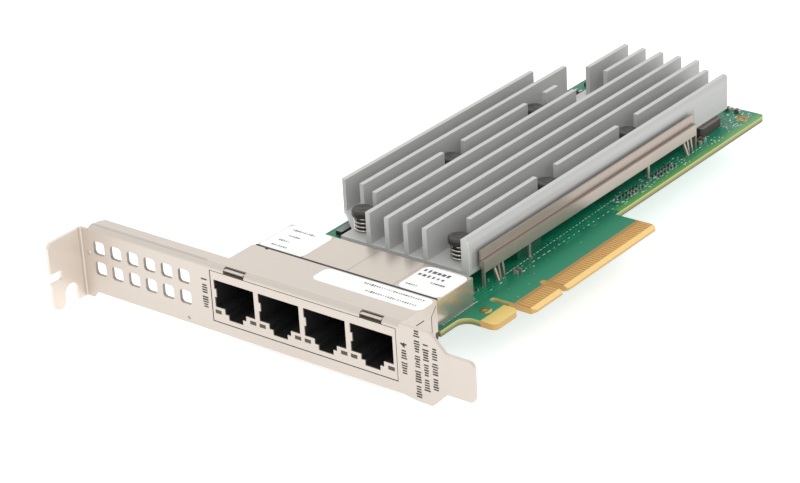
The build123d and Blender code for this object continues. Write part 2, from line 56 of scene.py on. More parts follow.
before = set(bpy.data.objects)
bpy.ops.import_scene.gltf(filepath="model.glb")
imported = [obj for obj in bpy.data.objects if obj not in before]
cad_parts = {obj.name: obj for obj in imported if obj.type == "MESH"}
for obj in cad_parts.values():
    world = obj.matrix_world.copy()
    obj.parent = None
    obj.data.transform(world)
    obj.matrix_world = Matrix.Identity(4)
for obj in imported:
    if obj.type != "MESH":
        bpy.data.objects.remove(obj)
cad_low, cad_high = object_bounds()

MM = 0.001
MICRON = 0.000001
BODY = "root"
BOARD_LENGTH = 159.0
PIN_NUMBERS = range(1, 7)
LOW, HIGH = 0, 1
X, Y, Z = 0, 1, 2

# Points of a solid's mesh that lie nearer than this, in metres, are one point.
SAME_POINT = 0.000005

# Plan corners of a field that holds the heat sink, the chips and the inductor, in card millimetres.
PLAN_LOW, PLAN_HIGH = (30, 20), (110, 170)

# Places in x past both ends of the row of sockets, in card millimetres.
PORTS_LEFT, PORTS_RIGHT = 40, 110

# The card's own zero: the screw tab's outer face, the bracket's outer face and the board's component side.
datum = Vector((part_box("bracket")[0].x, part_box("board")[1].y - BOARD_LENGTH * MM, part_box("board")[1].z))


def spot(x, y, z):
    """A point given in millimetres from the card's own zero."""
    return datum + Vector((x, y, z)) * MM


def edge_of(node, side, axis):
    """Where a node begins (LOW) or ends (HIGH) along an axis, in card millimetres."""
    return (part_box(node)[side][axis] - datum[axis]) / MM


def scaled(colour, factor):
    """A colour made darker or paler."""
    return tuple(min(1.0, c * factor) for c in colour)


# Settings of the panel


def colour_choice(name, description, default):
    return bpy.props.FloatVectorProperty(
        name=name, description=description, subtype="COLOR", default=default)


def number(name, description, default, **kind):
    return bpy.props.FloatProperty(name=name, description=description, default=default, **kind)


def millimetres(name, description, default):
    return number(name, description + ", in millimetres", default)


def degrees(name, description, default):
    return number(name, description, math.radians(default), subtype="ANGLE")


# Nodes


def add_node(tree, kind, values=None, **settings):
    """A new node, with its settings by keyword and its input values by name."""
    node = tree.nodes.new(kind)
    for key, value in settings.items():
        setattr(node, key, value)
    for key, value in (values or {}).items():
        node.inputs[key].default_value = value
    return node


def join(tree, *rows):
    """Links nodes. Each row gives a node, its output, the next node and its input."""
    for source, output, target, entry in rows:
        tree.links.new(source.outputs[output], target.inputs[entry])


def feed(tree, value, socket):
    """Links an output to a socket, or sets a number or a colour of three numbers on it."""
    if isinstance(value, bpy.types.NodeSocket):
        tree.links.new(value, socket)
    elif isinstance(value, (int, float)):
        socket.default_value = value
    else:
        socket.default_value = (*value, 1)


def reckon(tree, operation, *values):
    """The result of a math node whose inputs are other nodes' outputs or numbers."""
    node = add_node(tree, "ShaderNodeMath", operation=operation)
    for value, socket in zip(values, node.inputs):
        feed(tree, value, socket)
    return node.outputs[0]


def group_shell(name, inputs, outputs=(("Mask", "Float"),), kind="ShaderNodeTree"):
    """A node group with its named inputs, given as (label, type, value), and its outputs."""
    tree = bpy.data.node_groups.new(name, kind)
    for label, carries, value in inputs:
        socket = tree.interface.new_socket(label, in_out="INPUT", socket_type="NodeSocket" + carries)
        if value is not None:
            socket.default_value = value
    for label, carries in outputs:
        tree.interface.new_socket(label, in_out="OUTPUT", socket_type="NodeSocket" + carries)
    return tree, tree.nodes.new("NodeGroupInput"), tree.nodes.new("NodeGroupOutput")


# Shader groups


def colour_drift_group():
    """A colour that wanders softly towards a second one, with fine grain for bump and gloss."""
    tree, entry, leave = group_shell(
        "colour_drift",
        [
            ("Place", "Vector", None),
            ("Colour", "Color", (0.5, 0.5, 0.5, 1)),
            ("Drift Colour", "Color", (0.4, 0.4, 0.4, 1)),
            ("Patch Scale", "Float", 60.0),
            ("Grain Scale", "Float", 900.0),
            ("Grain Stretch", "Vector", (1, 1, 1)),
            ("Rough Low", "Float", 0.35),
            ("Rough High", "Float", 0.5),
        ],
        [("Colour", "Color"), ("Roughness", "Float"), ("Grain", "Float")],
    )
    patches = add_node(tree, "ShaderNodeTexNoise", {"Detail": 3})
    mix = add_node(tree, "ShaderNodeMix", data_type="RGBA")
    stretch = add_node(tree, "ShaderNodeVectorMath", operation="MULTIPLY")
    grain = add_node(tree, "ShaderNodeTexNoise", {"Detail": 2})
    gloss = add_node(tree, "ShaderNodeMapRange")
    join(
        tree,
        (entry, "Place", patches, "Vector"), (entry, "Patch Scale", patches, "Scale"),
        (patches, "Fac", mix, "Factor"), (entry, "Colour", mix, "A"),
        (entry, "Drift Colour", mix, "B"), (entry, "Place", stretch, 0),
        (entry, "Grain Stretch", stretch, 1), (stretch, 0, grain, "Vector"),
        (entry, "Grain Scale", grain, "Scale"), (grain, "Fac", gloss, "Value"),
        (entry, "Rough Low", gloss, "To Min"), (entry, "Rough High", gloss, "To Max"),
        (mix, "Result", leave, "Colour"), (gloss, "Result", leave, "Roughness"),
        (grain, "Fac", leave, "Grain"),
    )
    return tree


def zone_group():
    """A mask that is one inside a box, with limits in the scene's metres."""
    tree, entry, leave = group_shell(
        "zone",
        [("Place", "Vector", None), ("Low", "Vector", (0, 0, 0)), ("High", "Vector", (1, 1, 1))],
    )
    parts = [add_node(tree, "ShaderNodeSeparateXYZ") for _ in range(3)]
    join(tree, *[(entry, label, part, 0) for label, part in zip(("Place", "Low", "High"), parts)])
    mask = None
    for axis in (X, Y, Z):
        here, low, high = (part.outputs[axis] for part in parts)
        above = reckon(tree, "GREATER_THAN", here, low)
        inside = reckon(tree, "MULTIPLY", above, reckon(tree, "LESS_THAN", here, high))
        mask = reckon(tree, "MULTIPLY", mask, inside) if mask else inside
    tree.links.new(mask, leave.inputs["Mask"])
    return tree


def trace_group():
    """Fine parallel copper runs under the solder mask, broken into fields."""
    tree, entry, leave = group_shell(
        "copper_runs",
        [("Place", "Vector", None), ("Pitch Scale", "Float", 700.0), ("Field Scale", "Float", 70.0)],
    )
    fields = add_node(tree, "ShaderNodeTexVoronoi", distance="MANHATTAN")
    split = add_node(tree, "ShaderNodeSeparateColor")
    choose = add_node(tree, "ShaderNodeMix")
    for direction, side in (("X", "A"), ("Y", "B")):
        wave = add_node(tree, "ShaderNodeTexWave", {"Distortion": 0.6}, bands_direction=direction)
        join(tree, (entry, "Place", wave, "Vector"), (entry, "Pitch Scale", wave, "Scale"))
        join(tree, (wave, "Fac", choose, side))
    join(tree, (entry, "Place", fields, "Vector"), (entry, "Field Scale", fields, "Scale"))
    join(tree, (fields, "Color", split, "Color"))
    feed(tree, reckon(tree, "GREATER_THAN", split.outputs["Red"], 0.5), choose.inputs["Factor"])
    kept = reckon(tree, "GREATER_THAN", split.outputs["Green"], 0.45)
    feed(tree, reckon(tree, "MULTIPLY", choose.outputs["Result"], kept), leave.inputs["Mask"])
    return tree


def slope_group():
    """A mask that rises softly from nought to one along a direction, between two distances in metres."""
    tree, entry, leave = group_shell(
        "slope",
        [
            ("Place", "Vector", None),
            ("Direction", "Vector", (0, 0, 1)),
            ("Start", "Float", 0.0),
            ("End", "Float", 1.0),
        ],
    )
    along = add_node(tree, "ShaderNodeVectorMath", operation="DOT_PRODUCT")
    rise = add_node(tree, "ShaderNodeMapRange", interpolation_type="SMOOTHSTEP")
    join(
        tree,
        (entry, "Place", along, 0), (entry, "Direction", along, 1),
        (along, "Value", rise, "Value"), (entry, "Start", rise, "From Min"),
        (entry, "End", rise, "From Max"), (rise, "Result", leave, "Mask"),
    )
    return tree


drift_tree = colour_drift_group()
zone_tree = zone_group()
runs_tree = trace_group()
slope_tree = slope_group()


# Materials


class Finish:
    """A material whose colour drifts and whose grain gives its gloss and bump.

    The second colour is given itself or as a factor of the first, and the grain's depth in microns.
    """

    def __init__(
        self, name, colour, drift, rough, metallic=0.0,
        patch=60, grain=900, stretch=(1, 1, 1), depth=20, bump=0.3,
    ):
        self.made = bpy.data.materials.new(name)
        self.made.use_nodes = True
        self.tree = self.made.node_tree
        self.shader = self.tree.nodes["Principled BSDF"]
        self.shader.inputs["Metallic"].default_value = metallic
        self.place = self.tree.nodes.new("ShaderNodeTexCoord").outputs["Object"]
        second = scaled(colour, drift) if isinstance(drift, float) else drift
        values = {
            "Colour": (*colour, 1),
            "Drift Colour": (*second, 1),
            "Patch Scale": patch,
            "Grain Scale": grain,
            "Grain Stretch": stretch,
            "Rough Low": rough[0],
            "Rough High": rough[1],
        }
        wander = self.group(drift_tree, values)
        join(self.tree, (wander, "Colour", self.shader, "Base Color"))
        join(self.tree, (wander, "Roughness", self.shader, "Roughness"))
        if bump:
            relief = add_node(self.tree, "ShaderNodeBump", {"Distance": depth * MICRON, "Strength": bump})
            join(self.tree, (wander, "Grain", relief, "Height"), (relief, "Normal", self.shader, "Normal"))

    def group(self, group, values):
        """Adds a shader group that reads the object's own coordinates."""
        node = add_node(self.tree, "ShaderNodeGroup", values, node_tree=group)
        self.tree.links.new(self.place, node.inputs["Place"])
        return node

    def zone(self, low, high):
        """A mask over a box whose corners are given in card millimetres."""
        return self.group(zone_tree, {"Low": spot(*low), "High": spot(*high)}).outputs["Mask"]

    def slope(self, axis, start, end):
        """A mask that rises along an axis between two distances in card millimetres."""
        direction = [0, 0, 0]
        direction[axis] = 1
        near, far = (spot(*[v * k for k in direction])[axis] for v in (start, end))
        return self.group(slope_tree, {"Direction": direction, "Start": near, "End": far}).outputs["Mask"]

    def side_mask(self):
        """One on upright faces, nought on level ones."""
        split = add_node(self.tree, "ShaderNodeSeparateXYZ")
        join(self.tree, (add_node(self.tree, "ShaderNodeNewGeometry"), "True Normal", split, 0))
        return reckon(self.tree, "LESS_THAN", reckon(self.tree, "ABSOLUTE", split.outputs["Z"]), 0.5)

    def both(self, first, second):
        """The product of two masks."""
        return reckon(self.tree, "MULTIPLY", first, second)

    def mix(self, mask, first, second):
        """The first colour where the mask is nought, and the second where it is one."""
        node = add_node(self.tree, "ShaderNodeMix", data_type="RGBA")
        for value, label in ((mask, "Factor"), (first, "A"), (second, "B")):
            feed(self.tree, value, node.inputs[label])
        return node.outputs["Result"]

    def lay(self, mask, colour):
        """Lays a colour over the base colour where the mask is one."""
        base = self.shader.inputs["Base Color"]
        self.tree.links.new(self.mix(mask, base.links[0].from_socket, colour), base)

    def cover(self, low, high, colour):
        """Lays a colour in a box whose corners are given in card millimetres."""
        self.lay(self.zone(low, high), colour)

    def band(self, low, high, colour):
        """Lays a colour between two heights, over the field that holds the heat sink and the chips."""
        self.cover((*PLAN_LOW, low), (*PLAN_HIGH, high), colour)


def plain(*values, **settings):
    """The material of a finish with nothing laid over it."""
    return Finish(*values, **settings).made


def board_material(look):
    """Green faces over copper runs, paler near the cut edge as a painted sheen, darker low on the cut edges
    and where the board meets the side wall as painted shade, with bare laminate round the contacts.
    """
    green = look.mask_colour
    end = look.bare_end
    skin = Finish("solder_mask", green, 0.75, (0.3, 0.42), patch=30, grain=1500, depth=5)
    skin.shader.inputs["Specular IOR Level"].default_value = 0.35
    runs = skin.group(runs_tree, {"Pitch Scale": 300.0, "Field Scale": 110.0}).outputs["Mask"]
    skin.lay(skin.both(runs, skin.zone((45, 30, -5), (99, 160, 5))), scaled(green, 1.45))
    # Painted sheen: the face beside the long cut edge turns lime past the contacts and paler green beside
    # them.
    past_contacts = skin.zone((90, end + 1, -1), (120, 170, 1))
    skin.lay(skin.both(skin.slope(X, 96.2, 99.8), past_contacts), look.lime_sheen_colour)
    by_contacts = skin.zone((90, 14, -1), (107, end, 1))
    skin.lay(skin.both(skin.slope(X, 96.5, 103), by_contacts), scaled(green, 1.3))
    skin.cover((look.bare_start, 34, -5), (120, end, 5), look.bare_colour)
    skin.cover((look.bevel_start, 34, -5), (120, end, 5), look.bevel_colour)
    # Painted shade: the cut edges darken towards their bottom.
    cut = skin.mix(skin.slope(Z, -1.3, 0.0), scaled(look.laminate_colour, 0.36), look.laminate_colour)
    cut = skin.mix(skin.zone((look.bare_start - 1.5, 15, -5), (120, end, 5)), cut, look.warm_colour)
    skin.lay(skin.side_mask(), cut)
    # Painted shade on the board where it passes through the side wall.
    skin.cover((98.3, 12.9, -2), (99.55, 14.2, 1), (0.10, 0.045, 0.02))
    return skin.made


def bracket_material(look):
    """Plated steel with a brighter screw tab as painted light, and darker cut edges, creases and gaps as
    painted shade.
    """
    steel = look.bracket_colour
    skin = Finish(
        "plated_steel", steel, 0.91, (0.34, 0.44), 0.75, patch=25, grain=700, stretch=(1, 6, 6), depth=4)
    # Painted shade on the vents' cut edges.
    skin.cover((3, 0.05, -6), (38.5, 0.8, 6), scaled(steel, 0.5))
    # Painted shade in the gap between the window and the sockets' front plate.
    skin.cover((41.5, 0.05, -7), (100.5, 0.8, 6.95), look.gap_shade_colour)
    # Painted shade along the bend over the vents.
    skin.cover((3, 1.1, 6.5), (41, 2.3, 9), scaled(steel, 0.76))
    # Painted shade on a thin line just behind the bend, over the sockets.
    skin.cover((41, 1.25, 6.5), (99, 1.42, 9), scaled(steel, 0.7))
    # Painted light on the screw tab.
    skin.cover((-1, -14, -12), (1.2, -0.9, 12), scaled(steel, 1.2))
    # Painted shade on the side wall's cut edges beside the board's slot.
    skin.cover((99.2, 11.5, -4), (99.42, 13.95, 7), scaled(steel, 0.3))
    # Painted shade in the slot where the board passes through the side wall.
    skin.cover((98.5, 12.95, -1.75), (99.45, 14.05, 0.16), look.gap_shade_colour)
    return skin.made


def front_material(look):
    """The sockets' front plate, darkened with painted shade where only the hooks' slots show it."""
    skin = Finish(
        "front_steel", look.bracket_colour, 0.94, (0.32, 0.42), 0.75, patch=25, grain=700,
        stretch=(1, 6, 6), depth=4,
    )
    top = edge_of("port_shield_1", HIGH, Z)
    # Painted shade on the parts behind the bracket's sheet and in front of its face, over the sockets.
    skin.cover((PORTS_LEFT, 0.95, top - 0.1), (PORTS_RIGHT, 4, top + 3), look.gap_shade_colour)
    skin.cover((PORTS_LEFT, -1, 0), (PORTS_RIGHT, -0.1, top + 3), scaled(look.gap_shade_colour, 1.6))
    return skin.made


def shield_material(look):
    """The sockets' shields, darkened with painted shade in the gap under the shelf's rear edge."""
    skin = Finish(
        "shield_steel", look.shield_colour, 0.92, (0.22, 0.27), 0.8, patch=35, grain=500,
        stretch=(6, 1, 6), depth=2,
    )
    top = edge_of("port_shield_1", HIGH, Z)
    rear = edge_of("bracket", HIGH, Y)
    # Painted shade on the shields' tops under the shelf's rear edge.
    skin.cover((PORTS_LEFT, 0, top - 0.1), (PORTS_RIGHT, rear, top + 1), look.gap_shade_colour)
    return skin.made


def rail_material(look):
    """The side rail, with painted shade darkening its upper wall and a dark crease of painted shade over its
    ledge.
    """
    skin = Finish(
        "rail_steel", look.rail_colour, 0.86, (0.3, 0.45), 0.8, patch=90, grain=500,
        stretch=(8, 0.5, 8), depth=10,
    )
    ledge = look.rail_ledge
    # Painted shade on the upper wall.
    skin.cover((90, 30, ledge + 0.05), (97, 140, 12), scaled(look.rail_colour, 0.84))
    # Painted shade in the crease over the ledge.
    skin.cover((90, 30, ledge - 0.05), (94.64, 140, ledge + 0.07), scaled(look.gap_shade_colour, 3))
    return skin.made


def sink_material(look):
    """Drawn aluminium, paler on the base, the front ends and the fins' tops as painted light, and darker by
    the rail as painted shade.
    """
    metal = look.sink_colour
    skin = Finish(
        "sink_aluminium", metal, 0.9, (0.5, 0.64), 0.2, patch=45, grain=900, stretch=(3, 0.25, 3), depth=10)
    low, top = edge_of("heat_sink", LOW, Z), edge_of("heat_sink", HIGH, Z)
    front, outer = edge_of("heat_sink", LOW, Y), edge_of("heat_sink", HIGH, X)
    # Painted highlight on the fins' tops.
    skin.band(top - 0.03, top + 1, look.fin_top_highlight_colour)
    # Painted light on the base, and more of it on the front ends.
    skin.band(low - 1, low + 1.45, scaled(metal, 1.12))
    skin.cover((30, front - 1, low - 1), (110, front + 0.2, top - 0.03), scaled(metal, 1.3))
    # Painted shade: the outer wall darkens down towards the rail.
    outer_wall = skin.zone((outer - 0.8, 36, 5), (outer + 1, 134, 11))
    skin.lay(skin.both(skin.slope(Z, 10.6, 8.4), outer_wall), scaled(metal, 0.74))
    return skin.made


def package_material(look):
    """A chip's black lid on its green carrier."""
    skin = Finish(
        "chip_package", (0.018, 0.018, 0.02), (0.03, 0.03, 0.032), (0.45, 0.6), grain=3000, depth=12)
    skin.band(-1, 1.9, scaled(look.mask_colour, 0.6))
    return skin.made


def ferrite_material():
    """The inductor's pressed powder body, paler on top as a painted highlight."""
    skin = Finish(
        "ferrite", (0.045, 0.04, 0.038), (0.08, 0.07, 0.065), (0.4, 0.55), patch=500, grain=1800, depth=30)
    top = edge_of("power_inductor", HIGH, Z)
    # Painted highlight on the top face.
    skin.band(top - 0.04, top + 1, (0.27, 0.23, 0.21))
    return skin.made


def plating_material(look):
    """The gold of the nose, dull on the two rings."""
    skin = Finish(
        "nose_gold", look.nose_colour, 0.88, (0.26, 0.42), 1.0, patch=200, grain=2500, depth=4)
    skin.cover((90, 10, -1), (look.nose_start, 34, 1), (0.30, 0.25, 0.06))
    skin.cover((80, 140, -1), (99.5, 160, 1), (0.42, 0.23, 0.05))
    return skin.made


class CardFinishes(bpy.types.PropertyGroup):
    mask_colour: colour_choice("Solder mask", "Colour of the board's faces", (0.005, 0.172, 0.090))
    # Colour of the painted sheen on the board's face beside its cut edge.
    lime_sheen_colour: colour_choice(
        "Mask by the edge", "Colour of the board's face beside its cut edge", (0.13, 0.37, 0.09))
    laminate_colour: colour_choice("Laminate", "Colour of the board's cut edges", (0.46, 0.47, 0.17))
    warm_colour: colour_choice(
        "Laminate by the contacts", "Colour of the cut edges round the contacts", (0.56, 0.34, 0.12))
    bare_colour: colour_choice("Bare laminate", "Colour between the gold contacts", (0.40, 0.22, 0.06))
    bevel_colour: colour_choice("Bevel", "Colour of the bevel at the contacts' tips", (0.86, 0.59, 0.22))
    bare_start: millimetres("Bare from", "Where the solder mask ends, from the tab's outer face", 105.9)
    bare_end: millimetres("Contacts end", "Where the contacts end, from the bracket's face", 88.0)
    bevel_start: millimetres("Bevel from", "Where the bevel starts, from the tab's outer face", 110.52)
    gold_colour: colour_choice("Gold", "Colour of the contacts", (0.75, 0.45, 0.15))
    nose_colour: colour_choice("Nose gold", "Colour of the plated nose", (0.96, 0.74, 0.25))
    nose_start: millimetres("Nose from", "Where the plated nose starts, from the tab's outer face", 103.0)
    bracket_colour: colour_choice("Bracket", "Colour of the plated bracket", (0.68, 0.614, 0.55))
    # Colour of the painted shade laid in narrow gaps, slots and creases between sheets.
    gap_shade_colour: colour_choice("Gaps", "Colour of the narrow gaps between sheets", (0.05, 0.04, 0.034))
    shield_colour: colour_choice("Shield", "Colour of the socket shields", (0.625, 0.56, 0.495))
    rail_colour: colour_choice("Rail", "Colour of the side rail", (0.53, 0.455, 0.405))
    rail_ledge: millimetres("Rail ledge", "Height of the rail's ledge over the board", 6.75)
    sink_colour: colour_choice("Heat sink", "Colour of the heat sink", (0.52, 0.52, 0.51))
    # Colour of the painted highlight on the fins' tops.
    fin_top_highlight_colour: colour_choice("Fin tops", "Colour of the fins' cut tops", (0.58, 0.58, 0.56))
    black_colour: colour_choice("Mouldings", "Colour of the black mouldings", (0.012, 0.012, 0.012))


def paint(node, made):
    """Gives a solid its material."""
    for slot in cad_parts[node].material_slots:
        slot.material = made


class CARD_OT_finishes(bpy.types.Operator):
    """Gives every solid of the card its finish"""

    bl_idname = "card.finishes"
    bl_label = "Finishes"

    def execute(self, context):
        look = context.scene.card_finishes
        gold = plain("gold", look.gold_colour, 0.86, (0.24, 0.4), 1.0, patch=200, grain=2500, depth=4)
        black = plain(
            "black_moulding", look.black_colour, (0.02, 0.02, 0.02), (0.4, 0.55), grain=2500, depth=10)
        cap = plain(
            "pin_moulding", (0.021, 0.02, 0.019), (0.034, 0.033, 0.031), (0.3, 0.42), grain=2000, depth=10)
        bright = plain(
            "bright_steel", (0.62, 0.6, 0.58), (0.5, 0.48, 0.46), (0.2, 0.32), 1.0, grain=2000, depth=3)
        chip = plain(
            "chip_moulding", (0.018, 0.018, 0.02), (0.03, 0.03, 0.032), (0.45, 0.6), grain=3000, depth=12)
        made = {
            "board": board_material(look),
            "hole_plating": plating_material(look),
            "bracket": bracket_material(look),
            "port_front": front_material(look),
            "port_shield": shield_material(look),
            "port_body": black,
            "port_lights": plain(
                "light_window", (0.075, 0.06, 0.03), (0.05, 0.04, 0.02), (0.1, 0.2), patch=300, bump=0),
            "heat_sink": sink_material(look),
            "spring_pin": cap,
            "side_rail": rail_material(look),
            "thermal_pads": plain(
                "gap_pad", (0.32, 0.36, 0.4), (0.28, 0.3, 0.34), (0.7, 0.8), grain=1500),
            "power_inductor": ferrite_material(),
            "capacitors": plain(
                "ceramic", (0.36, 0.27, 0.19), (0.5, 0.47, 0.42), (0.3, 0.45), patch=500),
        }
        made |= dict.fromkeys(("edge_contacts", "port_wires"), gold)
        made |= dict.fromkeys(("pin_spring", "crystal"), bright)
        made |= dict.fromkeys(("resistors", "regulator"), chip)
        made |= dict.fromkeys(("controller_chip", "port_chip"), package_material(look))
        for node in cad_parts:
            paint(node, next(finish for start, finish in made.items() if node.startswith(start)))
        return {"FINISHED"}


# Geometry trees

TREE_SEED = 7
DISC_SIDES = 12


def start_tree(name, inputs):
    """A tree that sets real copies of a piece at points. The caller links the piece to the last node."""
    tree, entry, leave = group_shell(
        name,
        [("Points", "Geometry", None), *inputs, ("Finish", "Material", None)],
        [("Geometry", "Geometry")],
        "GeometryNodeTree",
    )
    place = add_node(tree, "GeometryNodeInstanceOnPoints")
    real = add_node(tree, "GeometryNodeRealizeInstances")
    coat = add_node(tree, "GeometryNodeSetMaterial")
    join(
        tree,
        (entry, "Points", place, "Points"), (place, "Instances", real, "Geometry"),
        (real, "Geometry", coat, "Geometry"), (entry, "Finish", coat, "Material"),
        (coat, "Geometry", leave, "Geometry"),
    )
    return tree, entry, place


def block_tree(name, shape):
    """A tree that sets a block or a disc of a random size at each point."""
    sizes = [(label, "Vector", (1, 1, 1)) for label in ("Size", "Least", "Most")]
    tree, entry, place = start_tree(name, sizes)
    if shape == "disc":
        values = {"Vertices": DISC_SIDES, "Radius": 0.5, "Depth": 1.0}
        solid = add_node(tree, "GeometryNodeMeshCylinder", values)
    else:
        solid = add_node(tree, "GeometryNodeMeshCube")
    chance = add_node(tree, "FunctionNodeRandomValue", {"Seed": TREE_SEED}, data_type="FLOAT_VECTOR")
    size = add_node(tree, "ShaderNodeVectorMath", operation="MULTIPLY")
    join(
        tree,
        (entry, "Least", chance, 0), (entry, "Most", chance, 1),
        (chance, 0, size, 0), (entry, "Size", size, 1),
        (solid, "Mesh", place, "Instance"), (size, 0, place, "Scale"),
    )
    return tree


def coil_tree():
    """A tree that winds a coil of round wire on each point."""
    sizes = (("Radius", 0.002), ("Height", 0.003), ("Turns", 4.0), ("Wire", 0.00025))
    tree, entry, place = start_tree("coil", [(label, "Float", value) for label, value in sizes])
    line = add_node(tree, "GeometryNodeCurveSpiral", {"Resolution": 36})
    ring = add_node(tree, "GeometryNodeCurvePrimitiveCircle", {"Resolution": 10})
    strand = add_node(tree, "GeometryNodeCurveToMesh", {"Fill Caps": True})
    smooth = add_node(tree, "GeometryNodeSetShadeSmooth")
    join(
        tree,
        (entry, "Radius", line, "Start Radius"), (entry, "Radius", line, "End Radius"),
        (entry, "Height", line, "Height"), (entry, "Turns", line, "Rotations"),
        (entry, "Wire", ring, "Radius"), (line, "Curve", strand, "Curve"),
        (ring, "Curve", strand, "Profile Curve"), (strand, "Mesh", smooth, "Geometry"),
        (smooth, "Geometry", place, "Instance"),
    )
    return tree


def add_object(name, data):
    """A new object in the scene."""
    made = bpy.data.objects.new(name, data)
    bpy.context.scene.collection.objects.link(made)
    return made


def new_piece(name, mesh):
    """A piece of the card that the export keeps, on the card's body."""
    piece = add_object(name, mesh)
    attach(piece, BODY)
    return piece


def run_tree(name, tree, points, slot, **values):
    """Runs a tree over the points, sets its inputs by name, and keeps the result as a plain mesh."""
    mesh = bpy.data.meshes.new(name)
    mesh.from_pydata([tuple(p) for p in points], [], [])
    holder = add_object(name + "_points", mesh)
    modifier = holder.modifiers.new("repeat", "NODES")
    modifier.node_group = tree
    for item in tree.interface.items_tree:
        if item.item_type == "SOCKET" and item.name in values:
            modifier[item.identifier] = values[item.name]
    graph = bpy.context.evaluated_depsgraph_get()
    result = bpy.data.meshes.new_from_object(holder.evaluated_get(graph))
    holder.modifiers.remove(modifier)
    bpy.data.objects.remove(holder)
    result.name = name
    return new_piece(name, result)


def set_blocks(name, tree, points, size, made, slot, least, most=(1, 1, 1)):
    """Blocks or discs of a size in millimetres, each made smaller or larger by chance."""
    metres = [v * MM for v in size]
    return run_tree(name, tree, points, slot, Size=metres, Least=least, Most=most, Finish=made)


def mesh_from(shape, name, *materials):
    """Turns a bmesh into a mesh with those materials, and frees it."""
    mesh = bpy.data.meshes.new(name)
    shape.to_mesh(mesh)
    shape.free()
    for made in materials:
        mesh.materials.append(made)
    return mesh


# Pins

SHARP_ANGLE = math.radians(40)
TURN_STEPS = 44


def turned_mesh(name, profile, places, made):
    """Closed bodies turned from a profile of (radius, height), one at each place, in card millimetres."""
    shape = bmesh.new()
    for x, y in places:
        rings = []
        for radius, height in profile:
            turns = [2 * math.pi * k / TURN_STEPS for k in range(TURN_STEPS if radius > 0 else 1)]
            ring = [spot(x + radius * math.cos(a), y + radius * math.sin(a), height) for a in turns]
            rings.append([shape.verts.new(point) for point in ring])
        for low, high in zip(rings, rings[1:]):
            for k in range(TURN_STEPS):
                corners = [low[k % len(low)], low[(k + 1) % len(low)]]
                corners += [high[(k + 1) % len(high)], high[k % len(high)]]
                shape.faces.new(list(dict.fromkeys(corners)))
    bmesh.ops.recalc_face_normals(shape, faces=shape.faces)
    mesh = mesh_from(shape, name, made)
    for face in mesh.polygons:
        face.use_smooth = True
    mesh.set_sharp_from_angle(angle=SHARP_ANGLE)
    return mesh


def merged_shape(*nodes):
    """A bmesh of the nodes' solids, with the doubled points of their loose triangles merged."""
    shape = bmesh.new()
    for node in nodes:
        shape.from_mesh(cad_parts[node].data)
    bmesh.ops.remove_doubles(shape, verts=shape.verts, dist=SAME_POINT)
    return shape


def add_lower_ends(mesh, nodes, level):
    """Adds the part of the nodes that lies under a level, closed at the cut."""
    shape = merged_shape(*nodes)
    cut = bmesh.ops.bisect_plane(
        shape, geom=shape.verts[:] + shape.edges[:] + shape.faces[:],
        plane_co=spot(0, 0, level), plane_no=(0, 0, 1), clear_outer=True,
    )
    rim = [e for e in cut["geom_cut"] if isinstance(e, bmesh.types.BMEdge)]
    bmesh.ops.holes_fill(shape, edges=rim)
    shape.from_mesh(mesh)
    shape.to_mesh(mesh)
    shape.free()


class CardPins(bpy.types.PropertyGroup):
    cap_radius: millimetres("Cap radius", "Radius of a pin's cap", 2.82)
    cap_height: millimetres("Cap height", "Height of a pin's cap", 1.7)
    coil_radius: millimetres("Coil radius", "Radius of a spring at the middle of its wire", 2.15)
    coil_turns: number("Coil turns", "Turns of the wire in a pin's spring", 3.2)
    coil_wire: millimetres("Coil wire", "Radius of the spring's wire", 0.26)


class CARD_OT_pins(bpy.types.Operator):
    """Gives the six pins grooved caps and coils of round wire"""

    bl_idname = "card.pins"
    bl_label = "Pins"

    def execute(self, context):
        look = context.scene.card_pins
        nodes = [f"spring_pin_{k}" for k in PIN_NUMBERS]
        places = []
        for node in nodes:
            low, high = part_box(node)
            middle = (low + high) / 2 - datum
            places.append((middle.x / MM, middle.y / MM))
        head = edge_of("spring_pin_1", HIGH, Z)
        floor = edge_of("pin_spring_1", LOW, Z)
        seat = head - look.cap_height
        r = look.cap_radius
        shaft, collar = 1.25, 1.72
        below, cut = -1.1, -1.0
        profile = [
            (0, below), (shaft, below), (shaft, floor), (collar, floor + 0.02), (collar, seat),
            (r - 0.4, seat), (r - 0.08, seat + 0.12), (r, seat + 0.28), (r, seat + 0.62),
            (r - 0.1, seat + 0.68), (r - 0.1, seat + 0.8), (r, seat + 0.86), (r, head - 0.42),
            (r - 0.08, head - 0.18), (r - 0.28, head), (r - 0.55, head + 0.06), (r - 0.8, head + 0.04),
            (r - 0.9, head - 0.05), (1.0, head - 0.05), (0.9, head + 0.02), (0, head + 0.03),
        ]
        cap = plain(
            "cap_moulding", (0.02, 0.019, 0.017), (0.055, 0.051, 0.046), (0.3, 0.5), patch=1400, grain=2600,
            depth=40, bump=0.5,
        )
        mesh = turned_mesh("dressed_pins", profile, places, cap)
        add_lower_ends(mesh, nodes, cut)
        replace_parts(new_piece("dressed_pins", mesh), *nodes)
        wire = plain(
            "spring_wire", (0.72, 0.69, 0.64), (0.5, 0.48, 0.45), (0.16, 0.28), 1.0, grain=2000, depth=3)
        feet = [spot(x, y, floor + look.coil_wire) for x, y in places]
        coils = run_tree(
            "pin_coils", coil_tree(), feet, "spring_steel",
            Radius=look.coil_radius * MM, Height=(seat - 0.02 - floor - 2 * look.coil_wire) * MM,
            Turns=look.coil_turns, Wire=look.coil_wire * MM, Finish=wire,
        )
        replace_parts(coils, *[f"pin_spring_{k}" for k in PIN_NUMBERS])
        return {"FINISHED"}


# Small parts


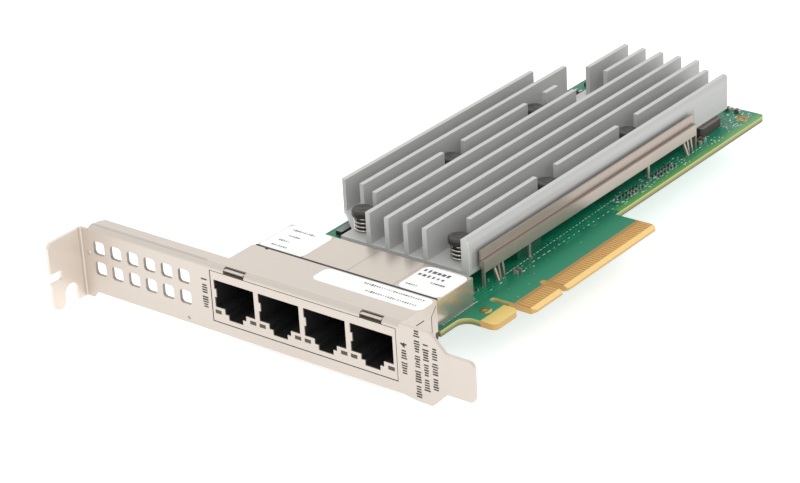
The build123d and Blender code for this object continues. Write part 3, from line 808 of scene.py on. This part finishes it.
def islands_of(shape):
    """The connected groups of faces of a mesh."""
    left = set(shape.faces)
    while left:
        group = {left.pop()}
        edge = list(group)
        while edge:
            face = edge.pop()
            for vert in face.verts:
                for other in vert.link_faces:
                    if other in left:
                        left.discard(other)
                        group.add(other)
                        edge.append(other)
        yield group


def parts_with_ends(node, end, body, metal):
    """Replaces a node of small parts by a copy whose end caps, so many millimetres long, are metal."""
    shape = merged_shape(node)
    inner = []
    for group in islands_of(shape):
        points = [v.co for face in group for v in face.verts]
        low = [min(p[i] for p in points) for i in (X, Y, Z)]
        high = [max(p[i] for p in points) for i in (X, Y, Z)]
        axis = X if high[X] - low[X] > high[Y] - low[Y] else Y
        for face in group:
            middle = face.calc_center_median()[axis]
            inside = min(middle - low[axis], high[axis] - middle) / MM
            if abs(face.normal[axis]) > 0.9 and abs(inside - end) < 0.05:
                inner.append(face)
            face.material_index = 1 if inside < end - 0.02 else 0
    bmesh.ops.delete(shape, geom=inner, context="FACES_ONLY")
    mesh = mesh_from(shape, node + "_dressed", body, metal)
    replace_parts(new_piece(node + "_dressed", mesh), node)


class CardParts(bpy.types.PropertyGroup):
    capacitor_end: millimetres("Capacitor end", "Length of a capacitor's metal end", 0.4)
    resistor_end: millimetres("Resistor end", "Length of a resistor's metal end", 0.2)
    end_colour: colour_choice("Part ends", "Colour of the small parts' metal ends", (0.78, 0.77, 0.74))


class CARD_OT_parts(bpy.types.Operator):
    """Gives the capacitors and resistors their bodies and metal ends"""

    bl_idname = "card.parts"
    bl_label = "Small parts"

    def execute(self, context):
        look = context.scene.card_parts
        metal = plain(
            "part_ends", look.end_colour, 0.8, (0.25, 0.4), 0.85, patch=1500, grain=2500, depth=10)
        brown = plain("ceramic_body", (0.14, 0.10, 0.075), (0.08, 0.06, 0.05), (0.35, 0.5), patch=900)
        dark = plain("resistor_body", (0.03, 0.03, 0.032), (0.06, 0.06, 0.062), (0.35, 0.5), patch=1500)
        parts_with_ends("capacitors", look.capacitor_end, brown, metal)
        parts_with_ends("resistors", look.resistor_end, dark, metal)
        return {"FINISHED"}


# Labels

# The shelf's upper face lies this far under the bracket's highest point, in millimetres.
SHELF_DROP = 0.22
CORNER_STEPS = 6


def rounded_outline(low, high, radius):
    """Corner points of a rectangle with round corners, in the order that goes round it."""
    left, right = low[0] + radius, high[0] - radius
    near, far = low[1] + radius, high[1] - radius
    points = []
    for quarter, (cx, cy) in enumerate(((right, far), (left, far), (left, near), (right, near))):
        for step in range(CORNER_STEPS + 1):
            angle = math.pi / 2 * (quarter + step / CORNER_STEPS)
            points.append((cx + radius * math.cos(angle), cy + radius * math.sin(angle)))
    return points


def add_plate(name, low, high, radius, bottom, top, made):
    """A level plate with round corners, in card millimetres."""
    shape = bmesh.new()
    ring = [shape.verts.new(spot(x, y, top)) for x, y in rounded_outline(low, high, radius)]
    face = shape.faces.new(ring)
    grown = bmesh.ops.extrude_face_region(shape, geom=[face])
    moved = [v for v in grown["geom"] if isinstance(v, bmesh.types.BMVert)]
    bmesh.ops.translate(shape, verts=moved, vec=Vector((0, 0, bottom - top)) * MM)
    bmesh.ops.recalc_face_normals(shape, faces=shape.faces)
    new_piece(name, mesh_from(shape, name, made))


class CardLabels(bpy.types.PropertyGroup):
    paper_colour: colour_choice("Paper", "Colour of the blank labels", (0.96, 0.96, 0.95))
    print_colour: colour_choice("Print", "Colour of the plain marks", (0.07, 0.07, 0.07))
    thickness: millimetres("Thickness", "Thickness of a label", 0.07)
    corner: millimetres("Corner", "Corner radius of a label", 1.9)


class CARD_OT_labels(bpy.types.Operator):
    """Sticks three labels with plain marks on the shields and the shelf, and adds a dark strip of painted
    shade behind the shelf's rear edge
    """

    bl_idname = "card.labels"
    bl_label = "Labels"

    def execute(self, context):
        look = context.scene.card_labels
        paper = plain("label_paper", look.paper_colour, 0.98, (0.45, 0.55), grain=2500, depth=4)
        ink = plain("label_print", look.print_colour, 1.6, (0.5, 0.6), patch=900, bump=0)
        shelf = edge_of("bracket", HIGH, Z) - SHELF_DROP
        shell = edge_of("port_shield_1", HIGH, Z)
        for name, low, high, level in (
            ("label_left", (43.6, 16.6), (57.1, 29.7), shell),
            ("label_middle", (67.8, 7.3), (99.6, 13.7), shelf),
            ("label_right", (85.2, 17.1), (97.7, 29.3), shell),
        ):
            add_plate(name, low, high, look.corner, level, level + look.thickness, paper)
        # A thin dark plate behind the shelf's rear edge stands for the shade there: painted shade.
        shade_strip_finish = plain("gasket", (0.025, 0.023, 0.021), (0.06, 0.054, 0.048), (0.6, 0.8), patch=900)
        rear = edge_of("bracket", HIGH, Y)
        low, high = (45.2, rear - 0.05), (99.2, rear + 0.8)
        add_plate("shelf_painted_shade_strip", low, high, 0.12, shelf - 0.45, shelf - 0.04, shade_strip_finish)
        tree = block_tree("print_marks", "block")
        large = [(86.4, 94.4, 27.2, shell), (86.4, 94.4, 24.9, shell)]
        small = [
            (91.5, 95.5, 22.6, shell), (86.6, 90.4, 19.6, shell), (46.0, 53.0, 27.6, shell),
            (47.2, 50.6, 24.6, shell), (46.4, 50.2, 21.8, shell), (46.4, 51.6, 19.0, shell),
            (80.4, 98.2, 12.2, shelf), (83.0, 98.0, 9.3, shelf),
        ]
        for kind, lines, wide, tall in (("large", large, 0.95, 1.35), ("small", small, 0.5, 0.8)):
            marks = []
            step = wide * 1.4
            for start, end, y, level in lines:
                z = level + look.thickness + 0.01
                marks += [spot(start + step * i, y, z) for i in range(round((end - start) / step))]
            name = "label_marks_" + kind
            size = (wide, tall, 0.02)
            set_blocks(name, tree, marks, size, ink, "socket_black", (0.35, 0.45, 1), (1.1, 1, 1))
        return {"FINISHED"}


# Marks on the bracket

# The middle of the ink's thickness, just outside the bracket's face.
INK_Y = -0.012

# The socket numbers with their places in x and z, in card millimetres.
NUMBERS = (("1", 41.75, 4.0), ("4", 101.3, 3.4))

# Columns of bars: the place in x, and the limits of the column in z.
BAR_COLUMNS = (
    (40.95, -3.3, 2.6), (100.5, -3.8, 2.0), (104.3, -8.7, 7.9), (106.7, -6.4, 5.4), (109.2, -5.5, 4.6),
)


class CardMarks(bpy.types.PropertyGroup):
    ink_colour: colour_choice("Ink", "Colour of the bracket's markings", (0.02, 0.019, 0.018))
    height: millimetres("Height", "Height of the socket numbers", 1.75)
    bar_pitch: millimetres("Bar pitch", "From one bar of the light key to the next", 0.64)


def number_mesh(name, text, height, x, z, made):
    """A plain number on the bracket's outer face, turned to read up the bracket."""
    curve = bpy.data.curves.new(name, "FONT")
    curve.body = text
    curve.size = height * 1.38 * MM
    curve.extrude = 0.012 * MM
    curve.offset = 0.07 * MM
    curve.align_x = "CENTER"
    holder = add_object(name, curve)
    bpy.context.view_layer.update()
    mesh = bpy.data.meshes.new_from_object(holder.evaluated_get(bpy.context.evaluated_depsgraph_get()))
    bpy.data.objects.remove(holder)
    upright = Matrix.Rotation(math.pi / 2, 4, "X")
    turned = Matrix.Rotation(-math.pi / 2, 4, "Y")
    mesh.transform(Matrix.Translation(spot(x, INK_Y, z)) @ turned @ upright)
    mesh.materials.clear()
    mesh.materials.append(made)
    return mesh


class CARD_OT_marks(bpy.types.Operator):
    """Prints the two socket numbers and the plain bars of the light key on the bracket"""

    bl_idname = "card.marks"
    bl_label = "Bracket marks"

    def execute(self, context):
        look = context.scene.card_marks
        ink = plain("bracket_ink", look.ink_colour, 1.5, (0.5, 0.6), patch=900, bump=0)
        for text, x, z in NUMBERS:
            name = "number_" + text
            new_piece(name, number_mesh(name, text, look.height, x, z, ink))
        tree = block_tree("ink_marks", "block")
        marks = []
        for x, low, high in BAR_COLUMNS:
            count = round((high - low) / look.bar_pitch)
            marks += [spot(x, INK_Y, low + look.bar_pitch * i) for i in range(count + 1) if i % 6 != 5]
        size = (1.7, 0.024, 0.38)
        set_blocks("key_marks", tree, marks, size, ink, "socket_black", (0.6, 1, 0.85), (1.05, 1, 1.1))
        return {"FINISHED"}


# Board detail

BOARD_SEED = 11
END_RING = (95.8, 153.7)
FIRST_PORT, PORT_PITCH = 50.1, 13.7
UNDER_BOARD = -1.6

# Heights of the middles of the vias, dashes, specks and copper runs over the board's face.
VIA_Z, DASH_Z, SPECK_Z, RUN_Z = 0.02, 0.012, 0.03, 0.008

# Vias that show one by one, then fields of scattered ones: how many, and their limits in x and in y.
CLEAR_VIAS = (
    (100.7, 40.1), (98.3, 52.1), (101.1, 49.8), (104.7, 38.1), (103.2, 44.7), (101.2, 69.5),
    (95.0, 37.2), (96.3, 35.0), (98.9, 31.6), (99.6, 57.4), (98.0, 61.0), (97.2, 66.0),
)
VIA_FIELDS = (
    (70, (93.2, 98.8), (88, 134)), (40, (94.2, 98.8), (32, 86)), (26, (88, 98.6), (144, 157.5)),
    (26, (46, 53), (138, 157)), (60, (46, 98), (24, 158)),
)

# Fields of printed specks, in the same way.
SPECK_FIELDS = (
    (56, (93.4, 98.4), (93, 108)), (56, (93.4, 98.4), (109, 124)), (24, (93.5, 98.2), (133.5, 141)),
    (44, (89.5, 97.8), (143.5, 157.6)), (10, (93.6, 98), (30.5, 44)), (4, (94, 99), (46, 58)),
)

# Rows of printed dashes: start, end and the step from one dash to the next.
DASH_ROWS = (
    ((95.6, 42.4), (94.4, 97.0), 1.45), ((97.3, 55.0), (97.3, 100.0), 2.1),
    ((97.4, 17.5), (97.1, 30.7), 1.1), ((98.3, 17.8), (98.1, 30.7), 1.1),
    ((96.2, 100.0), (96.2, 132.0), 1.7), ((92.4, 144.0), (97.6, 150.0), 1.9),
)


class CardBoard(bpy.types.PropertyGroup):
    silk_colour: colour_choice("Silk", "Colour of the printed lines on the board", (0.72, 0.78, 0.72))
    silk_width: millimetres("Silk width", "Width of a printed line", 0.18)
    run_colour: colour_choice("Copper runs", "Colour of the copper runs under the mask", (0.03, 0.26, 0.13))
    via_size: millimetres("Via", "Diameter of a via's solder ring", 0.44)


def strip_points(start, end, gap):
    """Points in plan from a start to an end, about one gap apart."""
    across, along = end[0] - start[0], end[1] - start[1]
    count = max(1, round(math.hypot(across, along) / gap))
    return [(start[0] + across * i / count, start[1] + along * i / count) for i in range(count + 1)]


def scattered(dice, fields, height):
    """Random points in fields of the board, at one height over it."""
    points = []
    for count, across, along in fields:
        points += [spot(dice.uniform(*across), dice.uniform(*along), height) for _ in range(count)]
    return points


def joint_points():
    """The soldered ends under the sockets: two rows of contacts and two posts each, and the rail's legs."""
    points = []
    step = 2.04
    for port in range(4):
        centre = FIRST_PORT + PORT_PITCH * port
        for row, y in enumerate((17.5, 20.0)):
            points += [(centre - 4.6 + step * k + step / 2 * row, y) for k in range(5)]
        points += [(centre + side, 24.5) for side in (-6.2, 6.2)]
    points += [(95.2, y) for y in (37.98, 56.3, 108.7, 131.2)]
    return [spot(x, y, UNDER_BOARD) for x, y in points]


class CARD_OT_board_detail(bpy.types.Operator):
    """Adds vias, printed lines, copper runs, solder joints and a small edge chip to the board"""

    bl_idname = "card.board_detail"
    bl_label = "Board detail"

    def execute(self, context):
        look = context.scene.card_board
        silk = plain("silk_print", look.silk_colour, 0.9, (0.45, 0.55), patch=400, bump=0)
        solder = plain(
            "solder", (0.66, 0.67, 0.66), (0.5, 0.51, 0.5), (0.2, 0.35), 0.9,
            patch=900, grain=2500, depth=10)
        dice = random.Random(BOARD_SEED)
        discs = block_tree("vias", "disc")
        blocks = block_tree("printed_lines", "block")
        vias = [spot(x, y, VIA_Z) for x, y in CLEAR_VIAS] + scattered(dice, VIA_FIELDS, VIA_Z)
        size = (look.via_size, look.via_size, 0.04)
        set_blocks("vias", discs, vias, size, solder, "spring_steel", (0.5, 0.5, 1))
        dashes = [spot(x, y, DASH_Z) for row in DASH_ROWS for x, y in strip_points(*row)]
        size = (look.silk_width, 0.95, 0.024)
        set_blocks("printed_lines", blocks, dashes, size, silk, "ceramic", (0.9, 0.5, 1), (1.1, 1.15, 1))
        specks = scattered(dice, SPECK_FIELDS, SPECK_Z)
        size = (0.2, 0.34, 0.05)
        set_blocks("printed_specks", blocks, specks, size, silk, "ceramic", (0.5, 0.5, 1), (1.5, 2.6, 1))
        # A small dark part whose top is painted grey as a highlight, with near-black sides.
        chip = Finish("edge_chip", (0.26, 0.27, 0.26), (0.2, 0.21, 0.2), (0.4, 0.5), grain=2500, depth=10)
        chip.lay(chip.side_mask(), (0.012, 0.011, 0.01))
        add_plate("edge_chip", (47.2, 41.5), (49.2, 47.0), 0.15, 0.0, 1.2, chip.made)
        runs = []
        for lane in range(9):
            ys = [*range(36 + lane, 62 - lane, 3), *range(90, 132, 3)]
            runs += [spot(93.9 + 0.46 * lane, y, RUN_Z) for y in ys]
        copper = plain("covered_copper", look.run_colour, 0.8, (0.3, 0.4), patch=300, bump=0)
        size = (0.13, 3.0, 0.016)
        set_blocks("copper_runs", blocks, runs, size, copper, "solder_mask", (0.8, 0.55, 1), (1.2, 1.0, 1))
        arcs = []
        for radius in (2.4, 3.1):
            for angle in (math.radians(60 + 12 * k) for k in range(14)):
                x, y = END_RING[0] + radius * math.cos(angle), END_RING[1] + radius * math.sin(angle)
                arcs.append(spot(x, y, DASH_Z))
        size = (0.17, 0.17, 0.024)
        set_blocks("printed_arcs", discs, arcs, size, silk, "ceramic", (0.8, 0.8, 1), (1.1, 1.1, 1))
        size = (1.35, 1.35, 0.5)
        least = (0.85, 0.85, 0.8)
        set_blocks("through_joints", discs, joint_points(), size, solder, "spring_steel", least)
        return {"FINISHED"}


# Stage


class CardStage(bpy.types.PropertyGroup):
    azimuth: degrees("Azimuth", "Camera's turn round the card", 39.135)
    elevation: degrees("Elevation", "Camera's height angle", 25.955)
    roll: degrees("Roll", "Camera's lean", -3.353)
    distance: number("Distance", "From the camera to its aim", 0.63788, subtype="DISTANCE")
    aim: bpy.props.FloatVectorProperty(
        name="Aim",
        description="Point at the middle of the picture, in card millimetres",
        default=(63.18, 46.80, 0.0),
    )
    lens: millimetres("Lens", "Focal length for a 36 mm wide frame", 117.35)
    floor_colour: colour_choice("Floor", "Colour of the pale floor", (0.6, 0.6, 0.6))
    floor_glow: number("Floor glow", "Strength of the light table under the card", 0.66)
    sky: number("Surround", "Strength of the even light all round", 0.95)
    back_power: number("Back light", "Power of the light behind the card", 0.5, unit="POWER")
    front_power: number("Front light", "Power of the light in front of the card", 8.4, unit="POWER")


def soft_light(name, place, aim, width, power):
    """A round lamp turned to its aim, with sizes in metres."""
    lamp = bpy.data.lights.new(name, "AREA")
    lamp.shape = "DISK"
    lamp.size = width
    lamp.energy = power
    holder = add_object(name, lamp)
    holder.location = place
    holder.rotation_euler = (Vector(aim) - Vector(place)).to_track_quat("-Z", "Y").to_euler()


def add_floor(look):
    """A pale floor just under the card that glows like a light table."""
    shape = bmesh.new()
    bmesh.ops.create_grid(shape, x_segments=1, y_segments=1, size=3.0)
    bmesh.ops.translate(shape, verts=shape.verts, vec=Vector((0, 0, cad_low.z - 0.0001)))
    pale = Finish("pale_floor", look.floor_colour, 1.0, (0.8, 0.9), bump=0)
    pale.shader.inputs["Emission Color"].default_value = (1, 1, 1, 1)
    pale.shader.inputs["Emission Strength"].default_value = look.floor_glow
    floor = add_object("floor", mesh_from(shape, "floor", pale.made))


def add_camera(look):
    """The camera that took the photograph, as the solids' sizes place it."""
    turn, rise = look.azimuth, look.elevation
    back = Vector((math.sin(turn) * math.cos(rise), -math.cos(turn) * math.cos(rise), math.sin(rise)))
    flat = Vector((math.cos(turn), math.sin(turn), 0))
    right = flat * math.cos(look.roll) + back.cross(flat) * math.sin(look.roll)
    lens = bpy.data.cameras.new("photo_camera")
    lens.lens = look.lens
    lens.sensor_width = 36
    lens.sensor_fit = "HORIZONTAL"
    lens.clip_start = 0.01
    camera = add_object("photo_camera", lens)
    turned = Matrix((right, back.cross(right), back)).transposed().to_4x4()
    camera.matrix_world = Matrix.Translation(spot(*look.aim) + back * look.distance) @ turned
    return camera


class CARD_OT_stage(bpy.types.Operator):
    """Sets up the pale floor, the soft light and the camera"""

    bl_idname = "card.stage"
    bl_label = "Stage"

    def execute(self, context):
        scene = context.scene
        look = scene.card_stage
        add_floor(look)
        surround = bpy.data.worlds.new("surround")
        surround.use_nodes = True
        background = surround.node_tree.nodes["Background"]
        background.inputs["Color"].default_value = (1, 1, 1, 1)
        background.inputs["Strength"].default_value = look.sky
        scene.world = surround
        centre = (cad_low + cad_high) / 2
        soft_light("back_light", centre + Vector((-0.75, 0.85, 0.8)), centre, 1.0, look.back_power)
        soft_light("front_light", centre + Vector((1.2, -1.1, 1.2)), centre, 1.4, look.front_power)
        scene.view_settings.view_transform = "Standard"
        scene.camera = add_camera(look)
        return {"FINISHED"}


class CARD_PT_panel(bpy.types.Panel):
    bl_label = "Card"
    bl_idname = "CARD_PT_panel"
    bl_space_type = "VIEW_3D"
    bl_region_type = "UI"
    bl_category = "Card"

    def draw(self, context):
        for step in OPERATORS:
            self.layout.operator(step.bl_idname)
        for name in SETTINGS:
            holder = getattr(context.scene, name)
            for key in holder.__annotations__:
                self.layout.prop(holder, key)


SETTINGS = {
    "card_finishes": CardFinishes,
    "card_pins": CardPins,
    "card_parts": CardParts,
    "card_labels": CardLabels,
    "card_marks": CardMarks,
    "card_board": CardBoard,
    "card_stage": CardStage,
}
OPERATORS = (
    CARD_OT_finishes,
    CARD_OT_pins,
    CARD_OT_parts,
    CARD_OT_labels,
    CARD_OT_marks,
    CARD_OT_board_detail,
    CARD_OT_stage,
)


def register():
    for name, kind in SETTINGS.items():
        bpy.utils.register_class(kind)
        setattr(bpy.types.Scene, name, bpy.props.PointerProperty(type=kind))
    for kind in (*OPERATORS, CARD_PT_panel):
        bpy.utils.register_class(kind)


def unregister():
    for kind in (CARD_PT_panel, *reversed(OPERATORS)):
        bpy.utils.unregister_class(kind)
    for name, kind in SETTINGS.items():
        delattr(bpy.types.Scene, name)
        bpy.utils.unregister_class(kind)


def main():
    register()
    bpy.ops.card.finishes()
    bpy.ops.card.pins()
    bpy.ops.card.parts()
    bpy.ops.card.labels()
    bpy.ops.card.marks()
    bpy.ops.card.board_detail()
    bpy.ops.card.stage()


if __name__ == "__main__":
    main()
